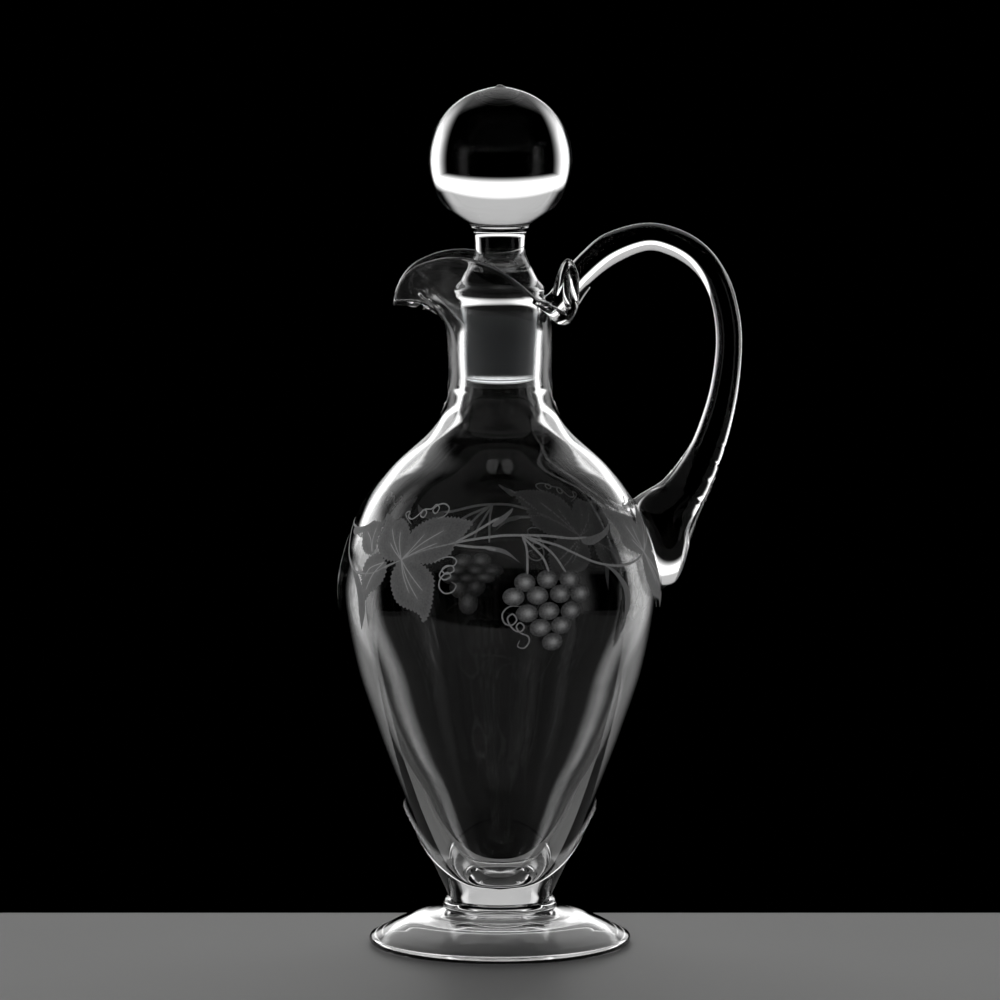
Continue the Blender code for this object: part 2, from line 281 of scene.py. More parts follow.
LEAF_TENDRILS = [
    [(-38.2, 162.6), (-41.4, 164.6), (-42.8, 166.2), (-41.0, 166.9), (-40.8, 165.0), (-38.6, 164.4),
     (-36.3, 165.8), (-34.2, 167.9), (-32.4, 167.2), (-33.0, 165.4), (-34.9, 165.9), (-34.0, 168.0),
     (-30.6, 168.4), (-28.8, 170.0), (-26.9, 168.8), (-28.0, 166.9), (-29.7, 168.1), (-27.8, 169.9),
     (-24.9, 170.4), (-22.4, 169.2), (-22.7, 167.2), (-24.4, 165.9), (-26.5, 165.2)],
    [(-24.9, 149.9), (-21.7, 151.6), (-18.3, 152.1), (-16.2, 150.9), (-17.0, 149.1), (-19.8, 148.9),
     (-21.4, 147.4), (-19.8, 146.0), (-16.9, 147.2), (-17.8, 149.0), (-20.7, 148.0), (-22.2, 145.4),
     (-20.2, 143.9), (-17.9, 145.2), (-19.4, 146.6), (-21.7, 144.2), (-21.9, 141.2), (-19.8, 139.1),
     (-16.9, 139.7), (-15.6, 142.0), (-17.5, 143.3)],
]
BUNCH_ANGLE = 17.5
GRAPES = [
    (8.8, 143.3), (17.1, 144.2), (25.5, 143.8), (4.7, 138.2), (13.2, 138.5), (21.5, 138.8), (29.1, 138.6),
    (9.4, 132.1), (17.2, 132.7), (25.4, 132.5), (14.2, 126.6), (21.8, 127.2), (18.8, 121.2),
]
SMALL_BUNCH = [
    (21.9, 138.6), (14.6, 138.8), (23.9, 133.8), (16.7, 133.9), (10.1, 133.6), (26.3, 129.2), (20.0, 129.1),
    (13.1, 129.3), (23.4, 124.5), (16.8, 124.6), (19.8, 120.0),
]
GRAPE_RADII = (3.85, 3.3)
GRAPE_LEAN = 0.5  # how far a grape's smallest rings lie to one side, in degrees
BUNCH_TENDRIL = [
    (7.1, 134.8), (3.1, 134.6), (0.8, 131.9), (1.6, 128.6), (4.2, 127.9), (5.8, 129.9), (4.4, 131.9),
    (2.6, 130.4), (3.6, 127.6), (5.6, 125.6), (7.6, 125.6), (8.4, 127.3), (6.9, 128.7), (5.7, 127.1),
    (7.2, 124.9), (9.8, 123.6), (10.3, 121.4), (8.6, 119.2), (6.3, 119.8), (6.9, 122.1),
]
STEMS = [
    [(-39.1, 149.8), (-30.0, 153.8), (-17.0, 157.2), (-10.6, 158.5), (0.1, 159.9), (9.5, 160.0),
     (18.1, 159.6), (28.5, 158.2), (35.4, 158.1)],
    [(-17.1, 157.5), (-10.8, 160.7), (-3.4, 164.7), (-0.4, 166.0)],
    [(-17.4, 156.4), (-10.4, 155.9), (-5.6, 155.7), (-1.5, 154.9)],
    [(8.7, 159.6), (10.1, 155.0), (9.9, 146.2)],
    [(8.7, 159.6), (12.6, 155.8), (16.1, 151.8), (17.9, 146.9)],
    [(9.5, 159.6), (16.6, 156.1), (20.6, 152.5), (24.4, 146.4)],
]
BLADES = [
    [
        [(-3.4, 163.4), (-1.4, 165.7), (1.2, 167.0), (5.6, 169.5)],
        [(5.6, 169.5), (4.9, 167.9), (1.5, 165.0), (-1.9, 162.9), (-3.4, 163.4)],
    ],
    [
        [(33.0, 158.6), (37.0, 158.3), (42.1, 159.1), (45.8, 160.3), (49.5, 162.3)],
        [(49.5, 162.3), (47.4, 159.2), (42.7, 156.9), (37.0, 155.3), (33.2, 156.4), (33.0, 158.6)],
    ],
    [
        [(-6.0, 156.4), (-2.2, 156.0), (2.6, 154.6), (7.3, 150.4)],
        [(7.3, 150.4), (3.4, 152.8), (-0.6, 154.2), (-4.8, 154.8), (-6.0, 156.4)],
    ],
]
LOW_STEM = [
    (9.5, 159.6), (15.3, 158.1), (22.7, 155.9), (29.9, 152.4), (37.4, 149.1), (46.1, 147.2), (53.9, 146.9),
    (61.2, 147.9), (67.9, 149.8),
]
DROOPING_BLADE = [
    [(37.4, 149.6), (42.3, 147.1), (46.2, 143.5), (48.9, 138.7), (49.4, 133.0), (49.2, 126.0)],
    [(49.2, 126.0), (51.3, 129.3), (52.5, 132.9), (52.2, 137.9), (49.0, 142.8), (45.0, 146.4),
     (37.4, 149.6)],
]
LEFT_STEM = [
    (-87.0, 157.8), (-80.4, 152.6), (-74.4, 147.7), (-66.7, 143.9), (-61.2, 142.9), (-52.9, 143.8),
    (-46.4, 146.7), (-39.1, 149.8),
]
LEFT_BLADE = [
    [(-74.4, 148.1), (-68.2, 143.6), (-63.2, 139.6), (-60.2, 134.7), (-59.6, 129.3), (-59.1, 122.0)],
    [(-59.1, 122.0), (-56.2, 127.0), (-55.2, 131.0), (-56.0, 135.7), (-60.2, 140.9), (-66.4, 144.6),
     (-74.4, 148.1)],
]
# Four lengths of the frieze go round the bowl: the angles of a leaf, its bunch and the leaf that follows.
FIRST_UNIT = (LEAF_JUNCTION, BUNCH_ANGLE, 67.9)
UNITS = [FIRST_UNIT, (67.9, 112.5, 146.0), (146.0, 190.0, 236.0), (236.0, 262.0, 360.0 + LEAF_JUNCTION)]
HANDLE_ANGLE = 90.0
HANDLE_ROOT = (9.6, 134.0)  # the handle's foot covers this angle either side of it, above this height
BED = 0.012  # the engraving's back stands this far off the glass
CUT_EDGE = 0.03  # and its face this far at an edge
CUT_TOP = 0.08  # inside a leaf
RIDGE = 0.11  # along a line, and at the top of a grape
GRID = 1.1  # between the points inside a leaf
TOOTH = 0.75
TOOTH_PITCH = 1.6

# The painted shading and highlights of the engraving's relief run from 0 to 1.
LEAF_PAINTED_SHADE = 0.5  # at a leaf's edge, which is painted lighter
LEAF_FALL = 0.12  # how much darker it is painted inside
LEAF_RIM = 1.6  # width of the rim where it changes
VEIN_PAINTED_LIGHT = 0.25  # how much lighter it is painted along a vein
VEIN_REACH = 1.3  # how far to each side of the vein
NO_VEIN = 3.0  # the distance that stands for no vein near

# Width, and brightness in the painted shading, of each kind of line.
VEIN = (0.66, 1.0)
STEM = (0.85, 0.5)
LEAF_TENDRIL = (0.5, 0.6)
BUNCH_CURL = (0.55, 0.4)
# How wide a line is at its two ends, as shares of its width.
STEM_ENDS = (0.5, 0.6)
VEIN_ENDS = (0.8, 0.3)
LINE_ENDS = (0.35, 0.35)
LINE_TAPER = 6.0  # how fast it widens from them
LINE_TOP = 0.4  # the share of its width that is a flat top

GLASS_IOR = 1.52
CUT_GRAIN = (1400.0, 0.00003)  # scale and height of the grain that the wheel leaves
CUT_GRAIN_SHARE = 0.5  # how much the grain adds to the painted shading
CUT_SHADES = (0.2, 0.96)  # their sums where the glass is dimmest and brightest
CUT_ROUGHNESS = 0.55
CUT_TRANSMISSION = 0.12

FLOOR_EDGES = (-700.0, 730.0, -420.0, 66.0)  # of the pale table top: left, right, front and back
FLOOR_THICKNESS = 24.0
FLOOR_DROP = 0.1  # how far its top lies below the foot
FLOOR_BEVEL = 3.0

# Angles round from straight behind, and above the horizon: where the light is gone and where it is whole.
# The weak light before the glass has the same limits, but its angles start from straight ahead.
CARD_SIDE = (math.radians(36), math.radians(58))
CARD_TOP = (math.radians(5), math.radians(11))
LIGHT_SIDE = (math.radians(74), math.radians(62))
LIGHT_TOP = (math.radians(24), math.radians(14))
LIGHT_BOTTOM = (math.radians(-64), math.radians(-5))
SKY_TOP = (math.radians(72), math.radians(50))
SKY_SIDE = (math.radians(60), math.radians(38))
SKY_SHARE = 0.3  # of the light's level, above LIGHT_TOP
FRONT_CARD_SIDE = (math.radians(50), math.radians(60))
FRONT_SHARE = 0.14
LIGHT_LEVEL = 1.8

# The front light and the camera, in metres.
FRONT_LIGHT = (-0.55, -1.8, 0.4)
FRONT_SIZE = 0.8
FRONT_POWER = 6.0
FRONT_AIM = 0.15
CAMERA_DISTANCE = 2.9
CAMERA_HEIGHT = 0.52
CAMERA_AIM = 0.1665
CAMERA_LENS = 283.0  # mm


# --- curves ---


def smooth(knots, steps, ends=None):
    """Points on a Catmull-Rom curve through the knots, with this many steps from each to the next."""
    points = [Vector(knot) for knot in knots]
    before, after = ends or (2 * points[0] - points[1], 2 * points[-1] - points[-2])
    points = [before] + points + [after]
    curve = []
    for a, b, c, d in zip(points, points[1:], points[2:], points[3:]):
        slope = c - a
        bend = 2 * a - 5 * b + 4 * c - d
        twist = 3 * b - a - 3 * c + d
        for step in range(steps):
            t = step / steps
            curve.append(b + 0.5 * (slope * t + bend * t**2 + twist * t**3))
    curve.append(points[-2])
    return curve


def bezier(a, b, c, d, t):
    s = 1 - t
    return s**3 * a + 3 * s * s * t * b + 3 * s * t * t * c + t**3 * d


def arc(centre_r, centre_z, radius, start, end, steps):
    points = []
    for step in range(steps + 1):
        angle = math.radians(start + (end - start) * step / steps)
        points.append(Vector((centre_r + radius * math.cos(angle), centre_z + radius * math.sin(angle))))
    return points


def ray(angle):
    return Vector((math.cos(angle), math.sin(angle), 0.0))


def ease(share, start):
    t = max(0.0, (share - start) / (1 - start))
    return t * t * (3 - 2 * t)


# --- materials ---


def new_material(name):
    material = bpy.data.materials.new(name)
    material.use_nodes = True
    tree = material.node_tree
    return material, tree, tree.nodes["Principled BSDF"]


def noise(tree, scale, detail=2.0):
    place = tree.nodes.new("ShaderNodeTexCoord")
    texture = tree.nodes.new("ShaderNodeTexNoise")
    texture.inputs["Scale"].default_value = scale
    texture.inputs["Detail"].default_value = detail
    tree.links.new(place.outputs["Object"], texture.inputs["Vector"])
    return texture


def bump(tree, shader, texture, distance):
    node = tree.nodes.new("ShaderNodeBump")
    node.inputs["Distance"].default_value = distance
    tree.links.new(texture.outputs["Fac"], node.inputs["Height"])
    tree.links.new(node.outputs["Normal"], shader.inputs["Normal"])


def math_node(tree, operation, a, b=None, c=None):
    node = tree.nodes.new("ShaderNodeMath")
    node.operation = operation
    for socket, value in zip(node.inputs, (a, b, c)):
        if value is None:
            continue
        if isinstance(value, (int, float)):
            socket.default_value = value
        else:
            tree.links.new(value, socket)
    return node.outputs["Value"]


def soft_step(tree, value, low, high):
    node = tree.nodes.new("ShaderNodeMapRange")
    node.interpolation_type = "SMOOTHSTEP"
    node.inputs["From Min"].default_value = low
    node.inputs["From Max"].default_value = high
    tree.links.new(value, node.inputs["Value"])
    return node.outputs["Result"]


def clear_glass(name, wave_scale, wave_height):
    """Blown glass: colourless, polished by the fire, with a faint slow waviness."""
    material, tree, shader = new_material(name)
    shader.inputs["Base Color"].default_value = (1.0, 1.0, 1.0, 1.0)
    shader.inputs["Roughness"].default_value = 0.0
    shader.inputs["IOR"].default_value = GLASS_IOR
    shader.inputs["Transmission Weight"].default_value = 1.0
    bump(tree, shader, noise(tree, wave_scale), wave_height)
    return material


def frosted_glass(name, roughness, spread, grain):
    """Glass ground with an abrasive: matt, with a fine grain (scale, height) that varies how matt it is."""
    material, tree, shader = new_material(name)
    shader.inputs["Base Color"].default_value = (0.93, 0.95, 0.96, 1.0)
    shader.inputs["IOR"].default_value = GLASS_IOR
    shader.inputs["Transmission Weight"].default_value = 1.0
    grain_scale, grain_height = grain
    texture = noise(tree, grain_scale, detail=3.0)
    bump(tree, shader, texture, grain_height)
    vary = tree.nodes.new("ShaderNodeMapRange")
    vary.inputs["To Min"].default_value = roughness - spread
    vary.inputs["To Max"].default_value = roughness + spread
    tree.links.new(texture.outputs["Fac"], vary.inputs["Value"])
    tree.links.new(vary.outputs["Result"], shader.inputs["Roughness"])
    return material


def wheel_cut_glass(name, dim, bright):
    """Engraving cut with a fine wheel: matt, with painted light and shade on its relief, read from an
    attribute: whiter where it is higher.
    """
    material, tree, shader = new_material(name)
    shader.inputs["IOR"].default_value = GLASS_IOR
    shader.inputs["Roughness"].default_value = CUT_ROUGHNESS
    shader.inputs["Transmission Weight"].default_value = CUT_TRANSMISSION
    # This attribute holds the painted shading and highlights of the engraved relief.
    cut = tree.nodes.new("ShaderNodeAttribute")
    cut.attribute_name = "painted_shading"
    grain_scale, grain_height = CUT_GRAIN
    grain = noise(tree, grain_scale, detail=3.0)
    bump(tree, shader, grain, grain_height)
    shade = math_node(tree, "MULTIPLY_ADD", grain.outputs["Fac"], CUT_GRAIN_SHARE, cut.outputs["Fac"])
    ramp = tree.nodes.new("ShaderNodeValToRGB")
    dimmest, brightest = ramp.color_ramp.elements
    dimmest.position, brightest.position = CUT_SHADES
    dimmest.color = (dim, dim, dim * 1.02, 1.0)
    brightest.color = (bright, bright, bright * 1.01, 1.0)
    tree.links.new(shade, ramp.inputs["Fac"])
    tree.links.new(ramp.outputs["Color"], shader.inputs["Base Color"])
    return material


def fused_joint():
    """Where two pieces are fused the glass runs on, so this face between them can't be seen."""
    material = bpy.data.materials.new("fused_joint")
    material.use_nodes = True
    tree = material.node_tree
    tree.nodes.clear()
    through = tree.nodes.new("ShaderNodeBsdfTransparent")
    output = tree.nodes.new("ShaderNodeOutputMaterial")
    tree.links.new(through.outputs["BSDF"], output.inputs["Surface"])
    return material


def floor_material():
    material, tree, shader = new_material("pale_floor")
    shader.inputs["Roughness"].default_value = 0.55
    texture = noise(tree, 9.0)
    ramp = tree.nodes.new("ShaderNodeValToRGB")
    ramp.color_ramp.elements[0].color = (0.47, 0.47, 0.465, 1.0)
    ramp.color_ramp.elements[1].color = (0.51, 0.51, 0.505, 1.0)
    tree.links.new(texture.outputs["Fac"], ramp.inputs["Fac"])
    tree.links.new(ramp.outputs["Color"], shader.inputs["Base Color"])
    return material


# --- building meshes ---


def skin(rings, bands, first_cap, last_cap):
    """A closed bmesh over a run of rings of points.

    bands gives the material index of each band between two rings; a ring of one point is a pole.
    """
    bm = bmesh.new()
    loops = [[bm.verts.new(point) for point in ring] for ring in rings]
    for low, high, band in zip(loops, loops[1:], bands):
        count = max(len(low), len(high))
        for i in range(count):
            j = (i + 1) % count
            if len(low) == 1:
                corners = (low[0], high[j], high[i])
            elif len(high) == 1:
                corners = (low[i], low[j], high[0])
            else:
                corners = (low[i], low[j], high[j], high[i])
            bm.faces.new(corners).material_index = band
    for loop, cap in ((loops[0], first_cap), (loops[-1], last_cap)):
        if len(loop) > 1:
            face = bm.faces.new(loop)
            face.material_index = cap
    bmesh.ops.recalc_face_normals(bm, faces=bm.faces)
    return bm


def new_object(name, bm, materials):
    mesh = bpy.data.meshes.new(name)
    bm.to_mesh(mesh)
    bm.free()
    for material in materials:
        mesh.materials.append(material)
    piece = bpy.data.objects.new(name, mesh)
    bpy.context.scene.collection.objects.link(piece)
    return piece


def finish_piece(name, bm, materials, body, replaced=(), joint=None):
    """The object made from a bmesh in millimetres; edges of joint faces and sharp corners stay crisp."""
    for face in bm.faces:
        face.smooth = face.material_index != joint
    for edge in bm.edges:
        indices = {face.material_index for face in edge.link_faces}
        if len(edge.link_faces) == 2 and edge.calc_face_angle(0.0) > SHARP_ANGLE:
            edge.smooth = False
        if joint in indices and len(indices) > 1:
            edge.smooth = False
    bmesh.ops.scale(bm, vec=(MM, MM, MM), verts=bm.verts)
    bmesh.ops.translate(bm, vec=(AXIS_X * MM, 0.0, 0.0), verts=bm.verts)
    piece = new_object(name, bm, materials)
    if body:
        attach(piece, body)
    if replaced:
        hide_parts(*replaced)
    return piece


def turned_rings(outline):
    rings = []
    for radius, height in outline:
        if radius < 0.01:
            rings.append([Vector((0.0, 0.0, height))])
        else:
            up = Vector((0.0, 0.0, height))
            rings.append([ray(2 * math.pi * side / SIDES) * radius + up for side in range(SIDES)])
    return rings


def turned(outline, band_of, first_cap, last_cap):
    """A turned solid; band_of gives the material index at a point of its outline."""
    outline = [Vector(point) for point in outline]
    bands = [band_of((a + b) / 2) for a, b in zip(outline, outline[1:])]
    return skin(turned_rings(outline), bands, first_cap, last_cap)


# --- the jug ---


def peg_radius(z):
    (tip_r, tip_z), (top_r, top_z) = PEG_TIP, SHANK[-1]
    return tip_r + (z - tip_z) * (top_r - tip_r) / (top_z - tip_z)


def rim_curve():
    knots = [Vector(knot[1:]) for knot in RIM]
    mirrored = [Vector((knot.x, -knot.y, knot.z)) for knot in (knots[1], knots[-2])]
    return smooth(knots, RIM_CURVE_STEPS, mirrored)


RIM_CURVE = rim_curve()
BOWL_PROFILE = smooth(BOWL_OUTSIDE, BOWL_STEPS)


def rim_point(share):
    """A point of the rim's outer edge: share is 0 or 2 at the back of the mouth and 1 at the spout."""
    folded = share if share <= 1 else 2 - share
    stops = [knot[0] for knot in RIM]
    knot = next(i for i in range(len(stops) - 1) if folded <= stops[i + 1])
    along = (folded - stops[knot]) / (stops[knot + 1] - stops[knot]) * RIM_CURVE_STEPS
    step = min(int(along), RIM_CURVE_STEPS - 1)
    start = knot * RIM_CURVE_STEPS + step
    point = RIM_CURVE[start].lerp(RIM_CURVE[start + 1], along - step)
    if share > 1:
        point.y = -point.y
    return point


def lip_column(side):
    """One column of the lip's points: up the outside of the neck, over the rim and down to the bore."""
    share = 2 * side / SIDES
    folded = min(share, 2 - share)
    spout = ease(folded, SPOUT_START)
    lean = math.radians(MOUTH_LEAN + (TIP_LEAN - MOUTH_LEAN) * ease(folded, TIP_START))
    rim = rim_point(share)
    near = 0.01
    ahead = rim_point((share + near) % 2) - rim_point((share - near) % 2)
    up = Vector((0.0, 0.0, 1.0))
    out = Vector((rim.x, rim.y, 0.0)).normalized()
    rise = out * math.sin(lean) + up * math.cos(lean)
    inward = rise.cross(ahead).normalized()
    if inward.dot(out - up * spout) > 0:
        inward = -inward

    height = rim.z - NECK_Z
    low = ray(math.pi * share) * BOWL_OUTSIDE[-1][0] + up * NECK_Z
    low_handle = low + up * (NECK_REACH * height * (1 - spout) + TIP_REACH_OUT * spout)
    edge_handle = rim - rise * (RIM_REACH * height * (1 - spout) + TIP_REACH_OUT * spout)
    column = [bezier(low, low_handle, edge_handle, rim, step / LIP_STEPS) for step in range(LIP_STEPS)]

    half = LIP_WALL / 2
    middle = rim + inward * half
    for step in range(RIM_STEPS + 1):
        turn = math.pi * step / RIM_STEPS
        column.append(middle - inward * half * math.cos(turn) + rise * half * math.sin(turn))

    bore = ray(math.pi * share) * (peg_radius(BORE_Z) + GAP) + up * BORE_Z
    brim = column[-1]
    climb = brim.z - BORE_Z
    brim_handle = brim - rise * (BRIM_REACH * climb * (1 - spout) + TIP_REACH_IN * spout)
    brim_handle += up * THROAT_RISE * spout
    bore_handle = bore + up * (BORE_REACH * climb * (1 - spout) + THROAT_REACH * spout)
    bore_handle += out * THROAT_SWELL * spout
    for step in range(1, LIP_STEPS + 1):
        column.append(bezier(brim, brim_handle, bore_handle, bore, step / LIP_STEPS))
    return column


def wall_mesh(clear, ground, joint):
    """The blown wall, closed: outside, over the lip, down the ground bore and round the inside."""
    outside = BOWL_PROFILE[:-1]
    inside = smooth(BOWL_INSIDE, 6)
    inside += [Vector((peg_radius(z) + GAP, z)) for z in BORE_RINGS]
    lips = [lip_column(side) for side in range(SIDES)]
    rings = turned_rings(outside)
    rings += [list(ring) for ring in zip(*lips)]
    rings += turned_rings(reversed(inside))
    bands = [clear] * (len(rings) - 1)
    first_inner = len(outside) + LIP_STEPS + RIM_STEPS
    for i in range(first_inner, len(bands)):
        middle = sum(point.z for point in rings[i]) / len(rings[i])
        if PEG_BOTTOM_Z - GROUND_MARGIN < middle < GROUND_TOP_Z + GROUND_MARGIN:
            bands[i] = ground
    return skin(rings, bands, joint, clear)


def oval(centre, across, sideways, sides):
    turns = [2 * math.pi * i / sides for i in range(sides)]
    return [centre + across * math.cos(turn) + sideways * math.sin(turn) for turn in turns]


def handle_mesh(index):
    rings = []
    for outer_x, outer_z, inner_x, inner_z, half_width, shift in smooth(HANDLE_CUTS, HANDLE_STEPS):
        if NICKS[0] < outer_z < NICKS[1]:
            beat = math.sin(2 * math.pi * outer_z / NICK_PITCH) * math.sin(NICK_BEAT * outer_z)
            outer_x -= NICK_DEPTH * max(0.0, beat) ** 2
        outer = Vector((outer_x, shift, outer_z))
        inner = Vector((inner_x, shift, inner_z))
        across = (outer - inner) / 2
        rings.append(oval((outer + inner) / 2, across, Vector((0.0, half_width, 0.0)), HANDLE_SIDES))
    return skin(rings, [index] * len(rings), index, index)


def curl_mesh(knots, index):
    path = smooth(knots, 8)
    rings = []
    for i, (x, y, z, half) in enumerate(path):
        tangent = (path[min(i + 1, len(path) - 1)] - path[max(i - 1, 0)]).to_3d().normalized()
        sideways = Vector((0.0, 1.0, 0.0))
        sideways = (sideways - tangent * sideways.dot(tangent)).normalized()
        across = tangent.cross(sideways)
        rings.append(oval(Vector((x, y, z)), across * half, sideways * half * CURL_FLATNESS, CURL_SIDES))
    return skin(rings, [index] * len(rings), index, index)


def fuse(base, added):
    """Joins the added solids to base, as one skin of glass, and returns the joined mesh."""
    for other in added:
        union = base.modifiers.new("fuse", "BOOLEAN")
        union.operation = "UNION"
        union.solver = "MANIFOLD"
        union.material_mode = "INDEX"
        union.object = other
    bpy.context.view_layer.update()
    evaluated = base.evaluated_get(bpy.context.evaluated_depsgraph_get())
    joined = bpy.data.meshes.new_from_object(evaluated)
    for piece in [base, *added]:
        bpy.data.objects.remove(piece, do_unlink=True)
    return joined


def part_of(joined, indices, joint):
    """The share of the joined skin with these material indices, closed where it is fused to the rest."""
    bm = bmesh.new()
    bm.from_mesh(joined)
    others = [face for face in bm.faces if face.material_index not in indices]
    bmesh.ops.delete(bm, geom=others, context="FACES")
    open_edges = [edge for edge in bm.edges if edge.is_boundary]
    filled = bmesh.ops.holes_fill(bm, edges=open_edges, sides=0)["faces"]
    for face in filled:
        face.material_index = joint
    bmesh.ops.triangulate(bm, faces=filled)
    bmesh.ops.recalc_face_normals(bm, faces=bm.faces)
    return bm


def build_jug(clear, ground, joint_material):
    clear_i, ground_i, joint_i, handle_i, curl_i = range(5)
    slots = [clear, ground, joint_material, clear, clear]
    base = new_object("wall", wall_mesh(clear_i, ground_i, joint_i), slots)
    handle = new_object("loop", handle_mesh(handle_i), slots)
    strands = [curl_mesh(knots, curl_i) for knots in (CURL_PATH, CURL_FOLD, CURL_HOOK)]
    curls = [new_object("tail", bm, slots) for bm in strands]
    joined = fuse(base, [handle, *curls])
    for name, indices in (
        ("bowl", (clear_i, ground_i, joint_i)),
        ("handle", (handle_i,)),
        ("handle_curl", (curl_i,)),
    ):
        bm = part_of(joined, indices, joint_i)
        finish_piece(name + "_glass", bm, slots, "jug", (name,), joint_i)

    collar = turned(smooth(COLLAR, 8), lambda at: clear_i, joint_i, joint_i)
    finish_piece("stem_collar_glass", collar, slots, "jug", ("stem_collar",), joint_i)

    outline = smooth(FOOT_TOP, 8) + arc(FOOT_RADIUS - FOOT_EDGE, FOOT_EDGE, FOOT_EDGE, 62, -90, 12)
    outline += [Vector((FOOT_RING, 0.0))] + smooth(FOOT_UNDER, 6) + smooth(PONTIL, 5)
    foot = turned(outline, lambda at: clear_i, joint_i, clear_i)
    finish_piece("foot_glass", foot, slots, "jug", ("foot",), joint_i)


def build_stopper(clear, ground, joint_material):
    clear_i, ground_i, joint_i = range(3)
    slots = [clear, ground, joint_material]
    outline = smooth(BALL_TIP, 4) + arc(0.0, BALL_Z, BALL_RADIUS, 74, -38, 40) + smooth(BALL_NECK, 6)
    ball = turned(outline, lambda at: clear_i, clear_i, joint_i)
    finish_piece("stopper_ball_glass", ball, slots, "stopper", ("stopper_ball",), joint_i)

    tip_r, tip_z = PEG_TIP
    corner = arc(tip_r - PEG_CORNER, PEG_BOTTOM_Z + PEG_CORNER, PEG_CORNER, 0, -90, 8)
    taper = [Vector((peg_radius(z), z)) for z in PEG_RINGS]
    outline = smooth(SHANK, 8) + taper + corner + [Vector((0.0, PEG_BOTTOM_Z))]

    def finish_at(at):
        return ground_i if tip_z < at.y < SHANK[-1][1] else clear_i

    peg = turned(outline, finish_at, joint_i, clear_i)
    finish_piece("stopper_peg_glass", peg, slots, "stopper", ("stopper_peg",), joint_i)


# --- the engraving ---


def on_bowl(angle, z, lift):
    """The point at this angle and height that stands this far out from the bowl's surface."""
    low = max(i for i in range(len(BOWL_PROFILE) - 1) if BOWL_PROFILE[i].y <= z)
    a, b = BOWL_PROFILE[low], BOWL_PROFILE[low + 1]
    along = (b - a).normalized()
    radius = a.x + (b.x - a.x) * (z - a.y) / (b.y - a.y) + along.y * lift
    turn = math.radians(angle)
    return Vector((radius * math.sin(turn), -radius * math.cos(turn), z - along.x * lift))


def turned_to(angle, unit):
    """Where an angle of the first length of the frieze falls in another length."""
    leaf, bunch, following = FIRST_UNIT
    if angle < leaf:
        return unit[0] + angle - leaf
    if angle < bunch:
        return unit[0] + (angle - leaf) * (unit[1] - unit[0]) / (bunch - leaf)
    return unit[1] + (angle - bunch) * (unit[2] - unit[1]) / (following - bunch)


def moved(points, shift):
    return [(angle + shift, z) for angle, z in points]


def squeezed(points, unit):
    return [(turned_to(angle, unit), z) for angle, z in points]


def to_outline(point, outline):
    """How far a point is from a closed outline."""
    nearest = math.inf
    for a, b in zip(outline, outline[1:] + outline[:1]):
        foot, along = intersect_point_line(point, a, b)
        foot = a if along < 0 else b if along > 1 else foot.to_2d()
        nearest = min(nearest, (foot - point).length)
    return nearest


def evenly(points, spacing):
    """Points at an even spacing along a line, with both of its ends."""
    length = sum((b - a).length for a, b in zip(points, points[1:]))
    count = max(2, round(length / spacing))
    even, walked, target = [points[0]], 0.0, length / count
    for a, b in zip(points, points[1:]):
        step = (b - a).length
        while walked + step >= target and len(even) < count:
            even.append(a.lerp(b, (target - walked) / step))
            target += length / count
        walked += step
    return even + [points[-1]]


def edge_line(runs, tooth):
    """The closed outline through these runs, counterclockwise, cut into small teeth if tooth isn't 0."""
    outline = []
    for run in runs:
        points = evenly(smooth(run, 4), TOOTH_PITCH / 2)
        for i, (a, b) in enumerate(zip(points, points[1:])):
            ahead = (b - a).normalized()
            out = Vector((-ahead.y, ahead.x)) * (tooth if i % 2 else 0.0)
            outline.append(a + out)
    area = sum(a.cross(b) for a, b in zip(outline, outline[1:] + outline[:1]))
    return outline[::-1] if area < 0 else outline


def clockwise(runs):
    """The same outline with its runs in clockwise order, so that its left-hand side is outside."""
    points = [Vector(point) for run in runs for point in run[:-1]]
    area = sum(a.cross(b) for a, b in zip(points, points[1:] + points[:1]))
    return runs if area < 0 else [run[::-1] for run in reversed(runs)]


def under_handle(angle, z):
    return abs(angle % 360 - HANDLE_ANGLE) < HANDLE_ROOT[0] and z > HANDLE_ROOT[1]


def add_slab(bm, corners, triangles):
    """Adds a thin closed slab on the bowl; a corner is an angle, a height, a lift and a value of painted
    shading.

    The wheel can't reach under the handle, so the slab stops there.
    """
    hidden = {i for i, corner in enumerate(corners) if under_handle(*corner[:2])}
    triangles = [triangle for triangle in triangles if hidden.isdisjoint(triangle)]
    # The layer of painted shading and highlights.
    painted_shade_layer = bm.verts.layers.float["painted_shading"]
    tops, backs = [], []
    for angle, z, lift, cut in corners:
        tops.append(bm.verts.new(on_bowl(angle, z, lift)))
        backs.append(bm.verts.new(on_bowl(angle, z, BED)))
        tops[-1][painted_shade_layer] = backs[-1][painted_shade_layer] = cut
    sides = set()
    for triangle in triangles:
        bm.faces.new([tops[i] for i in triangle])
        bm.faces.new([backs[i] for i in reversed(triangle)])
        sides.update(zip(triangle, triangle[1:] + triangle[:1]))
    for i, j in sides:
        if (j, i) not in sides:
            bm.faces.new((tops[j], tops[i], backs[i], backs[j]))


